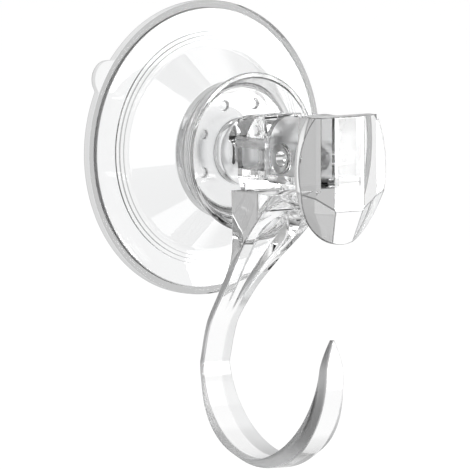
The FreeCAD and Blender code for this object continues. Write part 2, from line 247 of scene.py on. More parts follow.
# Painted shade: a grey rough finish on the hook's lower sides, for their grey bands.
HARD_SIDE_SHADE = ClearPlastic(
    name="hard_clear_side_shade", ior=1.3, roughness=0.4, roughness_spread=0.1,
    face_colour=(0.8, 0.804, 0.808), grazing_shade_colour=(0.6, 0.604, 0.608), grazing_shade_start=0.6)
HARD_RIM = ClearPlastic(
    name="hard_clear_rim", ior=1.4, roughness=0.6, roughness_spread=0.1,
    face_colour=(0.99, 0.991, 0.992), grazing_shade_colour=(0.96, 0.961, 0.962), grazing_shade_start=0.6)
HARD_CORE = ClearPlastic(
    name="hard_clear_core", ior=1.12, roughness=0.02, roughness_spread=0.05,
    face_colour=(0.98, 0.982, 0.984), grazing_shade_colour=(0.5, 0.51, 0.52), grazing_shade_start=0.5,
    wave_scale=120.0)
# Painted shade: the cup is darker on its bead's top, past radius 28.6 mm and height 1.85 mm.
SOFT_CLEAR = ClearPlastic(
    name="soft_clear_plastic", ior=1.07, roughness=0.01, roughness_spread=0.04,
    face_colour=(0.99, 0.993, 0.995), grazing_shade_colour=(0.4, 0.41, 0.42), grazing_shade_start=0.5,
    wave_scale=60.0, wave_height=0.00002, painted_shade_radius=28.6, painted_shade_height=1.85, painted_shade_tone=0.36)


def grid_faces(rows: int, columns: int, closed: bool) -> list[list[int]]:
    """Quads between rings of points.

    Args:
        rows: Number of rings.
        columns: Number of points in a ring.
        closed: The last ring joins the first.

    Returns:
        Indices, four to a quad. Quad (i, j) joins points j and j + 1 of rings i and i + 1.
    """
    a, b = np.meshgrid(np.arange(rows if closed else rows - 1), np.arange(columns), indexing="ij")
    a2, b2 = (a + 1) % rows, (b + 1) % columns
    quads = np.stack([a * columns + b, a2 * columns + b, a2 * columns + b2, a * columns + b2], -1)
    return quads.reshape(-1, 4).tolist()


def placed(name: str, data: bpy.types.ID) -> Object:
    """A new object with its data, linked to the scene at the origin."""
    obj = bpy.data.objects.new(name, data)
    bpy.context.scene.collection.objects.link(obj)
    return obj


def fill_mesh(name: str, points: np.ndarray, faces: list[list[int]], shade: Shade) -> Object:
    """Put points and faces into a new object, with its normals outward.

    Args:
        name: Name of the piece.
        points: Points in millimetres, three to a row.
        faces: Lists of indices.
        shade: Shading of all its faces.

    Returns:
        The object, linked to the scene at the origin.
    """
    mesh = bpy.data.meshes.new(name)
    mesh.from_pydata((points * MM).tolist(), [], faces)
    mesh.validate()
    work = bmesh.new()
    work.from_mesh(mesh)
    bmesh.ops.remove_doubles(work, verts=work.verts, dist=1e-7)
    bmesh.ops.recalc_face_normals(work, faces=work.faces)
    work.to_mesh(mesh)
    work.free()
    mesh.polygons.foreach_set("use_smooth", [shade is Shade.SMOOTH] * len(mesh.polygons))
    mesh.update()
    return placed(name, mesh)


def fill_grid(name: str, points: np.ndarray, closed: bool) -> Object:
    """Fill a smooth piece from rings of points.

    Args:
        name: Name of the piece.
        points: Points in millimetres, by ring, place in the ring and axis.
        closed: The last ring joins the first.

    Returns:
        The object.
    """
    faces = grid_faces(*points.shape[:2], closed)
    return fill_mesh(name, points.reshape(-1, 3), faces, Shade.SMOOTH)


def mix(start: float | np.ndarray, stop: float | np.ndarray, share: float | np.ndarray
        ) -> np.ndarray:
    """The straight way from start to stop, at shares from 0 to 1."""
    return start + (stop - start) * share


def cubic(share: np.ndarray, start: np.ndarray, start_slope: np.ndarray, stop: np.ndarray,
          stop_slope: np.ndarray) -> np.ndarray:
    """The cubic from start to stop with the slopes given there, at shares from 0 to 1."""
    left = 1 - share
    return ((1 + 2 * share) * left ** 2 * start + share * left ** 2 * start_slope
            + share ** 2 * (3 - 2 * share) * stop - share ** 2 * left * stop_slope)


def corner_curve(start: np.ndarray, corner: np.ndarray, stop: np.ndarray) -> np.ndarray:
    """Points of the parabola that rounds a corner, a row to a point from start to stop."""
    t = np.linspace(0, 1, CORNER_STRETCHES + 1).reshape(-1, *[1] * start.ndim)
    return (1 - t) ** 2 * start + 2 * t * (1 - t) * corner + t * t * stop


def eased(rows: np.ndarray, place: np.ndarray, column: int) -> np.ndarray:
    """A column of a table between its rows, smooth and with no overshoot.

    Each stretch is a cubic whose slopes at the rows are the harmonic means of the slopes beside
    them.

    Args:
        rows: Table whose first column rises.
        place: Places along the first column.
        column: Column that is read.

    Returns:
        Its values at those places.
    """
    x, y = rows[:, 0], rows[:, column]
    slope = np.diff(y) / np.diff(x)
    before, after = slope[:-1], slope[1:]
    total = np.where(before + after == 0, 1.0, before + after)
    middle = np.where(before * after > 0, 2 * before * after / total, 0.0)
    tangent = np.concatenate([slope[:1], middle, slope[-1:]])
    part = np.clip(np.searchsorted(x, place, side="left") - 1, 0, len(slope) - 1)
    width = x[part + 1] - x[part]
    return cubic((place - x[part]) / width, y[part], width * tangent[part], y[part + 1],
                 width * tangent[part + 1])


def rounded(corners: list[tuple[float, float, float]], step: float) -> np.ndarray:
    """A profile with its inner corners rounded and its long edges divided.

    A corner becomes the parabola between the two points a radius away along its edges, with one
    more point close beside each end so that the faces next to it shade flat. Short edges limit
    both.

    Args:
        corners: Radius or height pairs, each with its rounding.
        step: Longest stretch with no point.

    Returns:
        Points, two to a row.
    """
    points = np.array([c[:2] for c in corners], float)
    count = len(points)
    out: list[np.ndarray] = []
    for i, (_, _, radius) in enumerate(corners):
        here = points[i]
        if i in (0, count - 1) or radius <= 0:
            out.append(here[None])
            continue
        back, on = points[i - 1] - here, points[i + 1] - here
        long_back, long_on = np.linalg.norm(back), np.linalg.norm(on)
        size = min(radius, CORNER_MOST * long_back, CORNER_MOST * long_on)
        start, stop = here + back / long_back * size, here + on / long_on * size
        extra_back = min(CORNER_SUPPORT, SUPPORT_MOST * (long_back - size))
        extra_on = min(CORNER_SUPPORT, SUPPORT_MOST * (long_on - size))
        out += [start[None] + back / long_back * extra_back, corner_curve(start, here, stop),
                stop[None] + on / long_on * extra_on]
    line = np.concatenate(out)
    lengths = np.linalg.norm(np.diff(line, axis=0), axis=1)
    pieces = np.maximum(1, np.ceil(lengths / step).astype(int))
    parts = [a + (b - a) * (np.arange(n) / n)[:, None] for a, b, n in zip(line, line[1:], pieces)]
    return np.concatenate(parts + [line[-1:]])


def circle(segments: int) -> np.ndarray:
    """Even angles round a full circle, from 0."""
    return np.arange(segments) * TURN / segments


def obround_radius(angle: np.ndarray, half_width: float, half_height: float) -> np.ndarray:
    """Distance from the axis to the outline of a bar with flat sides and round ends.

    It is the half width over the cosine at the flat sides, and past them the far crossing with
    the end's circle.

    Args:
        angle: Angles from +X.
        half_width: Half its width, which is also the radius of its ends.
        half_height: Half its height.

    Returns:
        Distances in millimetres.
    """
    level = half_height - half_width
    across, up = np.abs(np.cos(angle)), np.abs(np.sin(angle))
    side = half_width / np.maximum(across, 1e-9)
    end = level * up + np.sqrt(np.maximum(half_width ** 2 - (level * across) ** 2, 0))
    return np.where(side * up <= level, side, end)


def turned(name: str, radius: np.ndarray, height: np.ndarray, closed: bool) -> Object:
    """A piece turned about the cup's axis.

    Point (i, j) lies at radius[i, j] and height[i, j], turned j steps of the full circle.

    Args:
        name: Name of the piece.
        radius: Radii, a row to each profile point.
        height: Heights, likewise.
        closed: The profile is a ring, and does not end on the axis.

    Returns:
        The object.
    """
    angle = circle(radius.shape[1])
    points = np.stack([radius * np.cos(angle), -height, radius * np.sin(angle)], -1)
    return fill_grid(name, points, closed)


def dressed(obj: Object, material: Material, slot: Slot, *nodes: str) -> Object:
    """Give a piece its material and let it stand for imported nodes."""
    obj.data.materials.clear()
    obj.data.materials.append(material)
    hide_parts(*nodes)
    LOG.info("%s: %d faces", obj.name, len(obj.data.polygons))
    return obj


def face_rows(obj: Object, what: str) -> np.ndarray:
    """The center or normal of each face of a piece, a row to a face."""
    values = np.zeros(len(obj.data.polygons) * 3, np.float32)
    obj.data.polygons.foreach_get(what, values)
    return values.reshape(-1, 3)


def finish_faces(obj: Object, material: Material, chosen: np.ndarray) -> None:
    """Give some faces a further finish.

    Args:
        obj: The piece, dressed in its other finishes.
        material: The further finish.
        chosen: For each face, whether it is taken.
    """
    mesh = obj.data
    mesh.materials.append(material)
    index = np.zeros(len(mesh.polygons), np.int32)
    mesh.polygons.foreach_get("material_index", index)
    index[chosen] = len(mesh.materials) - 1
    mesh.polygons.foreach_set("material_index", index)
    mesh.update()


def in_box(obj: Object, low: tuple[float, ...], high: tuple[float, ...],
           reach: float = math.inf) -> np.ndarray:
    """Which faces have their middles in a box.

    Args:
        obj: The piece.
        low: Lowest corner of the box in millimetres: across, height and up.
        high: Highest corner.
        reach: Greatest distance from the cup's axis.

    Returns:
        A truth value for each face.
    """
    spot = face_rows(obj, "center") / MM * np.array([1.0, -1.0, 1.0])
    inside = ((spot > np.array(low)) & (spot < np.array(high))).all(axis=1)
    return inside & (np.hypot(spot[:, 0], spot[:, 2]) < reach)


@dataclass
class StudBar:
    """Flat-sided bar with round top and bottom, and the bores it runs in."""

    half_width: float = 2.3
    half_height: float = 3.2
    foot_radius: float = 5.0
    foot_back: float = 4.0
    foot_front: float = 5.6
    foot_edge: float = 0.15
    foot_face: float = 0.96
    bar_start: float = 0.3
    bar_levels: int = 30
    end_levels: int = 20
    pin_height: float = 33.5
    segments: int = 128

    def bore(self, angle: np.ndarray, clearance: float) -> np.ndarray:
        """Distance from the axis to a bore's wall, at angles from +X."""
        return obround_radius(angle, self.half_width + clearance, self.half_height + clearance)

    def build(self, material: Material) -> Object:
        """Build the stud: its foot, its bar and the end that is round about the pin.

        Args:
            material: Finish of the stud.

        Returns:
            The piece, a stack of outlines whose tops and bottoms are held to the end's circle.
        """
        angle = circle(self.segments)
        outline = self.bore(angle, 0.0)
        edge = self.foot_edge
        heights = [self.foot_back, self.foot_back, self.foot_back + edge, self.foot_front - edge,
                   self.foot_front, self.foot_front]
        radius = [outline * 0.0]
        radius += [mix(outline, self.foot_radius, share)
                   for share in (self.foot_face, 1.0, 1.0, self.foot_face, 0.0)]
        limit = [self.half_height] * len(heights)
        for height in np.linspace(self.foot_front + self.bar_start, self.pin_height,
                                  self.bar_levels):
            heights.append(float(height))
            radius.append(outline)
            limit.append(self.half_height)
        for turn in np.linspace(0, math.pi / 2, self.end_levels)[1:]:
            heights.append(self.pin_height + self.half_height * math.sin(turn))
            radius.append(outline)
            limit.append(self.half_height * math.cos(turn))
        heights.append(self.pin_height + self.half_height)
        radius.append(outline * 0.0)
        limit.append(0.0)
        reach, top = np.array(radius), np.array(limit)[:, None]
        x = reach * np.cos(angle)
        z = np.clip(reach * np.sin(angle), -top, top)
        y = -np.array(heights)[:, None] + 0.0 * x
        obj = fill_grid("stud_bar", np.stack([x, y, z], -1), False)
        dressed(obj, material, Slot.HARD, "stud")
        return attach(obj, Body.PLUNGER.value)


@dataclass
class PivotPin:
    """Pin through the stud with a domed head outside each cheek of the lever."""

    height: float = 33.5
    radius: float = 1.6
    inner: float = 4.95
    outer: float = 6.1
    head_radius: float = 3.15
    rounding: float = 0.45
    segments: int = 96

    def build(self, material: Material) -> Object:
        """Build the pin, its profile turned about its own axis along X.

        Args:
            material: Finish of the pin.

        Returns:
            The piece.
        """
        half = [(self.radius, 0.0, 0.0), (self.radius, self.inner, 0.1),
                (self.head_radius, self.inner, 0.15), (self.head_radius, self.outer, self.rounding),
                (0.0, self.outer, 0.0)]
        right = rounded(half, 0.8)
        left = right[::-1] * np.array([1.0, -1.0])
        line = np.concatenate([left[:-1], right])
        turn = circle(self.segments)[None]
        r, x = line[:, :1], line[:, 1:]
        points = np.stack([x + 0 * turn, -self.height - r * np.cos(turn), r * np.sin(turn)], -1)
        obj = fill_grid("lever_pin", points, False)
        dressed(obj, material, Slot.HARD, "pivot_pin")
        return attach(obj, Body.PLUNGER.value)


@dataclass
class SuctionCup:
    """Soft cup: hollow, sealing lip, bead, shoulder, hub round the stud's foot, and a tab."""

    stud: StudBar
    radius: float = 30.0
    seal_radius: float = 27.8
    bead_inner: float = 28.6
    bead_height: float = 2.1
    lip: float = 1.2
    cavity: float = 2.6
    shoulder_radius: float = 20.8
    shoulder_rise: float = 4.3
    shoulder_power: float = 1.3
    shoulder_points: int = 40
    hollow_points: int = 46
    hub_radius: float = 6.6
    hub_height: float = 8.0
    hub_top_inner: float = 4.2
    gap: float = 0.05
    tab_angle: float = 148.0
    tab_centre: float = 28.6
    tab_radius: float = 3.8
    tab_thickness: float = 1.6
    tab_start: float = 0.7
    tab_edge: float = 0.12
    segments: int = 480

    def build(self, material: Material) -> Object:
        """Build the cup as a turned profile whose wall swells into the tab at one place.

        The hollow is the depth times the cube of 1 less the square of the radius share. The
        shoulder rises to the hub by a power of 1 less the share of the way out.

        Args:
            material: Finish of the cup.

        Returns:
            The piece. Its middle is shaped round the stud and its rim lies on the wall.
        """
        angle = circle(self.segments)
        bore = self.stud.bore(angle, self.gap)
        inside = self.seal_radius * np.sin(np.linspace(0, math.pi / 2, self.hollow_points))
        hollow = [(r, self.cavity * (1 - (r / self.seal_radius) ** 2) ** 3) for r in inside]
        wall = rounded([(self.seal_radius, 0.0, 0.0), (self.radius, 0.0, 0.25),
                        (self.radius, self.bead_height, 0.35),
                        (self.bead_inner, self.bead_height, 0.35),
                        (self.bead_inner, self.lip, 0.25), (self.shoulder_radius, self.lip, 0.0)],
                       0.15)
        share = np.linspace(1, 0, self.shoulder_points)[1:]
        run = self.shoulder_radius - self.hub_radius
        shoulder = np.stack([self.hub_radius + run * share,
                             self.lip + self.shoulder_rise * (1 - share) ** self.shoulder_power],
                            -1)
        foot = self.stud.foot_radius + self.gap
        low, high = self.stud.foot_back - self.gap, self.stud.foot_front + self.gap
        hub = rounded([(self.hub_radius, float(shoulder[-1, 1]), 0.0),
                       (self.hub_radius, self.hub_height, 0.4), (0.0, self.hub_height, 0.0)],
                      0.3)[1:-1]
        hub = hub[hub[:, 0] > self.hub_top_inner]
        fixed = np.concatenate([hollow, wall[1:], shoulder, hub])
        radius = np.repeat(fixed[:, :1], self.segments, axis=1)
        height = np.repeat(fixed[:, 1:], self.segments, axis=1)
        level = height[:, 0]
        outside = (radius[:, 0] > self.bead_inner + self.tab_start) & (level < self.bead_height)
        weight = np.clip((self.tab_thickness - level) / self.tab_edge, 0, 1) ** 0.5 * outside
        weight *= (radius[:, 0] - self.seal_radius) / (self.radius - self.seal_radius)
        radius = radius + weight[:, None] * self.tab_bulge(angle)
        inner = [(bore, self.hub_height), (bore, high), (np.full_like(bore, foot), high),
                 (np.full_like(bore, foot), low), (bore * 0.0, low)]
        radius = np.concatenate([radius, [r for r, _ in inner]])
        height = np.concatenate([height, [np.full_like(bore, h) for _, h in inner]])
        obj = turned("suction_cup_body", radius, height, False)
        dressed(obj, material, Slot.SOFT, "suction_cup")
        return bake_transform(obj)

    def tab_bulge(self, angle: np.ndarray) -> np.ndarray:
        """How far the tab's circle stands out past the rim, at angles from +X."""
        off = angle - math.radians(self.tab_angle)
        reach = self.tab_radius ** 2 - (self.tab_centre * np.sin(off)) ** 2
        far = self.tab_centre * np.cos(off) + np.sqrt(np.maximum(reach, 0))
        return np.where((reach > 0) & (np.cos(off) > 0), np.maximum(far - self.radius, 0), 0)


@dataclass
class Cover:
    """Hard cover: flange, fine ridges, cone, neck and drum with a recessed, dimpled front."""

    stud: StudBar
    flange_radius: float = 28.55
    flange_wall: float = 0.22
    underside: float = 1.24
    flange_height: float = 2.4
    ridges: tuple[float, ...] = (23.7, 22.9, 22.1)
    ridge_step: float = 0.32
    cone_foot_radius: float = 20.9
    neck_radius: float = 13.9
    neck_height: float = 9.9
    waist_radius: float = 14.7
    waist_height: float = 13.5
    drum_radius: float = 16.4
    drum_height: float = 17.4
    land: float = 1.2
    floor_radius: float = 13.3
    floor_height: float = 13.4
    floor_band: float = 0.01
    floor_points: int = 30
    bore_inner: float = 4.0
    boss_radius: float = 6.8
    boss_height: float = 15.8
    inner_radius: float = 12.0
    inner_height: float = 8.6
    inner_top: float = 11.6
    inner_band: float = 0.1
    inner_foot: float = 20.8
    clearance: float = 0.15
    dimple_ring: float = 10.2
    dimple_radius: float = 1.1
    dimple_depth: float = 0.6
    dimple_wall: float = 0.2
    dimple_border: float = 0.4
    dimple_angles: tuple[float, ...] = (-22.5, 22.5, 67.5, 112.5, 157.5, 202.5)
    segments: int = 480

    def build(self, material: Material, inside: Material, rim: Material) -> Object:
        """Build the cover as a turned ring whose inner edge is the stud's bore.

        Args:
            material: Finish of the cover.
            inside: Finish of the back of its floor.
            rim: Finish of the flange's outer wall.

        Returns:
            The piece.
        """
        angle = circle(self.segments)
        bore = self.stud.bore(angle, self.clearance)
        corners = [(self.inner_radius, self.inner_top, 0.8),
                   (self.inner_radius, self.inner_height, 1.5),
                   (self.inner_foot, self.underside, 0.6),
                   (self.flange_radius, self.underside, 0.2),
                   (self.flange_radius, self.flange_height, 0.2)]
        height = self.flange_height
        for radius in self.ridges:
            corners.append((radius, height, 0.06))
            height += self.ridge_step
            corners.append((radius, height, 0.08))
        corners += [(self.cone_foot_radius, height, 0.5),
                    (self.neck_radius, self.neck_height, 0.35),
                    (self.waist_radius, self.waist_height, 0.5),
                    (self.drum_radius, self.drum_height, 0.4),
                    (self.drum_radius - self.land, self.drum_height, 0.3),
                    (self.floor_radius, self.floor_height, 0.5),
                    (self.boss_radius, self.floor_height, 0.2),
                    (self.boss_radius, self.boss_height, 0.3)]
        line = rounded([(self.bore_inner, self.inner_top, 0.0)] + corners
                       + [(self.bore_inner, self.boss_height, 0.0)], 0.4)
        on_floor = np.abs(line[:, 1] - self.floor_height) < self.floor_band
        on_floor &= np.abs(line[:, 0] - self.dimple_ring) < self.dimple_radius + self.dimple_border
        first, last = np.flatnonzero(on_floor)[[0, -1]]
        fine = np.linspace(line[first, 0], line[last, 0], self.floor_points)
        floor = np.stack([fine, np.full_like(fine, self.floor_height)], -1)
        line = np.concatenate([line[:first], floor, line[last + 1:]])
        radius = np.repeat(line[1:-1, :1], self.segments, axis=1)
        level = np.repeat(line[1:-1, 1:], self.segments, axis=1)
        level = level - self.dimples(radius, level, angle)
        radius = np.concatenate([bore[None], radius, bore[None]])
        level = np.concatenate([np.full((1, self.segments), self.inner_top), level,
                                np.full((1, self.segments), self.boss_height)])
        obj = turned("cover_shell", radius, level, True)
        dressed(obj, material, Slot.HARD, "cover")
        reach, low, high = (self.inner_radius, self.inner_top - self.inner_band,
                            self.inner_top + self.inner_band)
        finish_faces(obj, inside, in_box(obj, (-reach, low, -reach), (reach, high, reach), reach))
        spot = face_rows(obj, "center")
        wall = (self.flange_radius - self.flange_wall) * MM
        finish_faces(obj, rim, np.hypot(spot[:, 0], spot[:, 2]) > wall)
        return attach(obj, Body.HOUSING.value)

    def dimples(self, radius: np.ndarray, level: np.ndarray, angle: np.ndarray) -> np.ndarray:
        """How deep the floor is pressed in at each point, a flat-bottomed dish with soft walls."""
        depth = np.zeros_like(radius)
        for place in self.dimple_angles:
            turn = math.radians(place)
            x, z = self.dimple_ring * math.cos(turn), self.dimple_ring * math.sin(turn)
            off = np.hypot(radius * np.cos(angle) - x, radius * np.sin(angle) - z)
            rise = np.clip((self.dimple_radius - off) / self.dimple_wall, 0, 1)
            depth = np.maximum(depth, rise * rise * (3 - 2 * rise))
        return self.dimple_depth * depth * (np.abs(level - self.floor_height) < self.floor_band)


@dataclass
class Hook:
    """Hook: sleeve on the stud, neck plate, tapering shank with a scoop, and the open bend."""

    stud: StudBar
    sleeve_front: float = 27.5
    sleeve_back: float = 18.7
    sleeve_top: float = 8.4
    sleeve_bottom: float = 4.9
    half_width: float = 4.9
    pad_front: float = 15.8
    pad_top: float = 3.4
    pad_width: float = 0.9
    ear_root: float = 1.2
    ear_crown: float = 24.5
    brow: tuple[tuple[float, float], ...] = ((0.59, 0.91), (0.29, 0.68), (0.115, 0.32))
    brow_slopes: tuple[tuple[float, float], ...] = ((-3.0, 0.0), (-0.3, -1.4))
    foot_half_width: float = 2.4
    sleeve_edge: float = 0.22
    foot_edge: float = 0.1
    neck_inset: float = 0.02
    plate_angle: float = 25.0
    neck_back: float = 19.2
    neck_thickness: float = 2.0
    block_top: float = -7.21
    block_back: float = 19.9
    block_front: float = 34.5
    block_width: float = 15.6
    block_back_width: float = 15.2
    bend_radius: float = 18.4
    bend_height: float = 24.2
    bend_drop: float = 43.5
    thickness: float = 2.4
    end_thickness: float = 1.7
    outer_width: float = 4.8
    waist_width: float = 7.4
    belly_width: float = 12.7
    belly_angle: float = 275.0
    end_width: float = 6.1
    tip_length: float = 6.8
    tip_width: float = 0.9
    tip_thickness: float = 0.8
    tip_power: float = 1.5
    limb_points: int = 121
    tip_points: int = 25
    scoop_top_drop: float = 4.2
    scoop_length: float = 22.0
    scoop_arch: float = 4.5
    scoop_border: float = 2.5
    scoop_depth: float = 2.1
    scoop_floor: float = 0.45
    scoop_least: float = 0.3
    scoop_range: tuple[float, float] = (0.02, 0.94)
    rounding: float = 0.42
    rounding_most: float = 0.3
    support: float = 0.08
    support_most: float = 0.1
    sides_top: float = -24.0
    sides_least: float = 0.35
    bore_clearance: float = 0.15
    bore_cut: tuple[float, float] = (10.0, 40.0)
    bore_band: float = 0.2
    end_band: float = 0.1
    bore_segments: int = 96
    shank_curve: tuple[tuple[float, ...], ...] = (
        (0.0, 1.0, 1.0, 1.0, 1.0),
        (0.22, 0.988, 0.714, 0.915, 0.93),
        (0.413, 0.758, 0.463, 0.476, 0.44),
        (0.604, 0.406, 0.247, 0.1, 0.12),
        (0.792, 0.127, 0.08, 0.0, 0.02),
        (1.0, 0.0, 0.0, 0.0, 0.0),
    )

    def stations(self) -> tuple[np.ndarray, ...]:
        """Stations down the shank, round the bend and out to the tip.

        Returns:
            Middle of the inner face, outward direction, inner width, outer width, thickness, and
            depth and half width of the scoop.
        """
        bar_front = self.bend_height - self.bend_radius
        bar_back = bar_front - self.thickness
        share = np.linspace(0, 1, self.limb_points)[:-1]
        table = np.array(self.shank_curve)
        z = self.block_top - (self.block_top + self.bend_drop) * share
        ends = ((bar_back, self.block_back), (bar_front, self.block_front),
                (self.waist_width, self.block_width), (self.outer_width, self.block_back_width))
        back, front, wide, narrow = (mix(low, high, eased(table, share, column))
                                     for column, (low, high) in enumerate(ends, 1))
        shank = np.stack([0 * z, -front, z], -1)
        shank_out = np.repeat([[0.0, 1.0, 0.0]], len(z), axis=0)
        down = np.clip(self.block_top - z - self.scoop_top_drop, 0, None)
        arch = np.sqrt(1 - (1 - np.minimum(down / self.scoop_arch, 1)) ** 2)
        fade = 1 - np.clip((down - self.scoop_arch) / (self.scoop_length - self.scoop_arch), 0, 1)
        mouth = np.maximum(wide / 2 - self.scoop_border, self.scoop_least) * arch
        depth = self.scoop_depth * np.sqrt(arch) * fade

        turn = np.linspace(math.pi, TURN, self.limb_points)
        degrees = np.degrees(turn)
        outward = np.stack([0 * turn, -np.cos(turn), np.sin(turn)], -1)
        centre = np.array([0.0, -self.bend_height, -self.bend_drop])
        bend = centre + outward * self.bend_radius
        rising = degrees < self.belly_angle
        start = np.where(rising, self.waist_width, self.end_width)
        part = np.where(rising, (degrees - 180) / (self.belly_angle - 180),
                        (360 - degrees) / (360 - self.belly_angle))
        bend_wide = mix(start, self.belly_width, np.sin(part * math.pi / 2))
        bend_thick = mix(self.thickness, self.end_thickness, np.linspace(0, 1, len(turn)))

        reach = np.linspace(0, 1, self.tip_points)[1:]
        grow = reach ** self.tip_power
        tip_wide = mix(self.end_width, self.tip_width, grow)
        tip_narrow = mix(self.outer_width, self.tip_width * 0.5, grow)
        tip_thick = mix(self.end_thickness, self.tip_thickness, grow)
        inside = self.bend_height + self.bend_radius
        tip = np.stack([0 * reach, -(inside + self.tip_width * grow / 2),
                        -self.bend_drop + self.tip_length * reach], -1)
        tip_out = np.repeat([[0.0, -1.0, 0.0]], len(reach), axis=0)
        none = np.zeros(len(turn) + len(reach))
        return (np.concatenate([shank, bend, tip]), np.concatenate([shank_out, outward, tip_out]),
                np.concatenate([wide, bend_wide, tip_wide]),
                np.concatenate([narrow, np.full(len(turn), self.outer_width), tip_narrow]),
                np.concatenate([front - back, bend_thick, tip_thick]),
                np.concatenate([depth, none]), np.concatenate([mouth, none]))

    def bar(self) -> Object:
        """Build the shank, bend and tip.

        Each section is a trapezium with rounded corners, set across the path. Its inner face is
        pressed in by the scoop's depth between the scoop's two inner lines, and less outside them.

        Returns:
            The closed bar.
        """
        middle, outward, wide, narrow, thick, depth, mouth = self.stations()
        count = len(wide)
        across = np.array([1.0, 0.0, 0.0])
        inner_half, outer_half = wide[:, None] / 2 * across, narrow[:, None] / 2 * across
        back = middle + outward * thick[:, None]
        corner = np.stack([middle - inner_half, middle + inner_half, back + outer_half,
                           back - outer_half])
        arcs: list[np.ndarray] = []
        for i in range(4):
            here, before, after = corner[i], corner[i - 1], corner[(i + 1) % 4]
            gone, come = before - here, after - here
            long_gone = np.linalg.norm(gone, axis=1, keepdims=True)
            long_come = np.linalg.norm(come, axis=1, keepdims=True)
            shorter = np.minimum(long_gone, long_come)
            size = np.minimum(self.rounding, self.rounding_most * shorter)
            start, stop = here + gone / long_gone * size, here + come / long_come * size
            near = np.minimum(self.support, self.support_most * shorter)
            arcs.append(np.concatenate([(start + gone / long_gone * near)[None],
                                        corner_curve(start, here, stop),
                                        (stop + come / long_come * near)[None]]))
        face = self.front_face(arcs[0][-1], arcs[1][0], outward, depth, mouth)
        points = np.concatenate([arcs[0], face, *arcs[1:]]).transpose(1, 0, 2)
        ring = points.shape[1]
        faces = grid_faces(count, ring, False)
        faces.append(list(range(ring)))
        last = (count - 1) * ring
        faces.append(list(range(last + ring - 1, last - 1, -1)))
        return fill_mesh("hook_bar", points.reshape(-1, 3), faces, Shade.SMOOTH)

    def front_face(self, left: np.ndarray, right: np.ndarray, outward: np.ndarray,
                   depth: np.ndarray, mouth: np.ndarray) -> np.ndarray:
        """Rows of points across the inner face, with the scoop pressed into them.

        Args:
            left: Left end of the face at each station.
            right: Right end.
            outward: Direction in which the scoop is pressed.
            depth: Depth of its floor.
            mouth: Half its width.

        Returns:
            Points, a row to each line down the face.
        """
        edge = right[:, 0]
        least, most = self.scoop_range
        held = np.minimum(np.maximum(mouth, least * edge), most * edge)
        floor = held * self.scoop_floor
        rows = []
        for share in (0.66, 0.33, 0.06):
            rows.append((edge * share + held * (1 - share), 0.0))
        for share in (1.0, 0.96, 0.8, 0.6, 0.4, 0.2, 0.04, 0.0):
            rows.append((floor + (held - floor) * share, 1 - share))
        for share in (0.92, 0.6, 0.3):
            rows.append((floor * share, 1.0))
        full = rows + [(0 * edge, 1.0)] + [(-x, d) for x, d in rows[::-1]]
        lines = []
        for x, deep in full[::-1]:
            base = (left + right) / 2
            line = base + np.stack([x, 0 * x, 0 * x], -1)
            lines.append(line + outward * (depth * deep)[:, None])
        return np.array(lines)

    def plate(self, name: str, outline: np.ndarray, half_width: float, bevel: float) -> Object:
        """A plate across X from an outline of heights and Z, with its edges eased.

        Args:
            name: Name of the piece.
            outline: Closed outline, two numbers to a point.
            half_width: Half its width along X.
            bevel: Width of the eased edges.

        Returns:
            The object.
        """
        count = len(outline)
        side = np.stack([0 * outline[:, 0], -outline[:, 0], outline[:, 1]], -1)
        left, right = side.copy(), side.copy()
        left[:, 0], right[:, 0] = -half_width, half_width
        faces = [list(range(count)), list(range(2 * count - 1, count - 1, -1))]
        faces += [[i, i + count, (i + 1) % count + count, (i + 1) % count] for i in range(count)]
        obj = fill_mesh(name, np.concatenate([left, right]), faces, Shade.FLAT)
        ease_edges(obj, bevel, self.plate_angle)
        return obj

    def sleeve_outline(self) -> np.ndarray:
        """Outline of the sleeve's side: front, crown, curved brow, pad on the boss and bottom."""
        reach, rise = self.ear_crown - self.pad_front, self.sleeve_top - self.pad_top
        knots = np.array([(self.ear_crown, self.sleeve_top)]
                         + [(self.pad_front + reach * along, self.pad_top + rise * up)
                            for along, up in self.brow] + [(self.pad_front, self.pad_top)])
        slope = np.zeros_like(knots)
        slope[1:-1] = (knots[2:] - knots[:-2]) / 2
        slope[0], slope[-1] = self.brow_slopes
        t = np.linspace(0, 1, 9)[:-1, None]
        brow = np.concatenate([cubic(t, knots[k], slope[k], knots[k + 1], slope[k + 1])
                               for k in range(len(knots) - 1)])
        rest = np.array([[self.pad_front, self.pad_top],
                         [self.pad_front, self.pad_top - self.pad_width],
                         [self.sleeve_back, self.ear_root], [self.sleeve_back, -self.sleeve_bottom],
                         [self.sleeve_front, -self.sleeve_bottom],
                         [self.sleeve_front, self.sleeve_top]])
        return np.concatenate([brow, rest])

